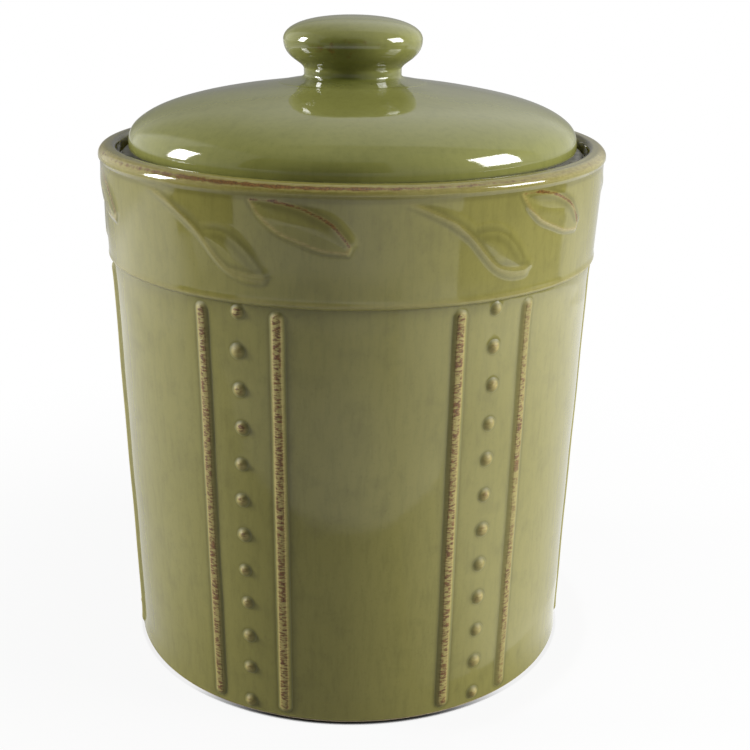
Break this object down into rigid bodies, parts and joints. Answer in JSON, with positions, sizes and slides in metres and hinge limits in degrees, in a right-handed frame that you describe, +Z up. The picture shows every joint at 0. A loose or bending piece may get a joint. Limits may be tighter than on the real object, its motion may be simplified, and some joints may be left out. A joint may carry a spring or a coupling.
{
  "type": "lidded kitchen canister",
  "caption": "Round glazed stoneware storage canister with a drop-in domed lid, turned knob, silicone seal, ribbed and beaded bands and a vine frieze under the rim.",
  "frame": {"origin": "centre of the jar's foot, on the surface it stands on", "axes": "+Z up along the jar's axis; -Y is the front seen in the picture; +X to the right of that view"},
  "size_m": [0.16, 0.16, 0.2057],
  "materials": {
    "jar_glaze": "glossy sage green glaze over stoneware",
    "relief_glaze": "glossy sage green glaze breaking to tan on raised edges",
    "lid_glaze": "glossy sage green glaze",
    "seal_silicone": "soft translucent grey silicone"
  },
  "bodies": {
    "jar": {"jar": "jar_glaze", "rib_pair_1": "relief_glaze", "rib_pair_2": "relief_glaze", "rib_pair_3": "relief_glaze", "rib_pair_4": "relief_glaze", "rib_pair_5": "relief_glaze", "rib_pair_6": "relief_glaze", "bead_row_1": "relief_glaze", "bead_row_2": "relief_glaze", "bead_row_3": "relief_glaze", "bead_row_4": "relief_glaze", "bead_row_5": "relief_glaze", "bead_row_6": "relief_glaze", "vine_sprig_1": "relief_glaze", "vine_sprig_2": "relief_glaze", "vine_sprig_3": "relief_glaze", "vine_sprig_4": "relief_glaze", "vine_sprig_5": "relief_glaze", "vine_sprig_6": "relief_glaze"},
    "seal": {"seal_ring": "seal_silicone"},
    "lid": {"lid": "lid_glaze", "knob": "lid_glaze"}
  },
  "joints": [
    {"name": "lid_lift", "type": "slide", "parent": "jar", "child": "seal", "axis": [0, 0, 1], "range_m": [0, 0.25]},
    {"name": "lid_turn", "type": "hinge", "parent": "seal", "child": "lid", "pos_m": [0, 0, 0.165], "axis": [0, 0, 1], "continuous": true}
  ]
}
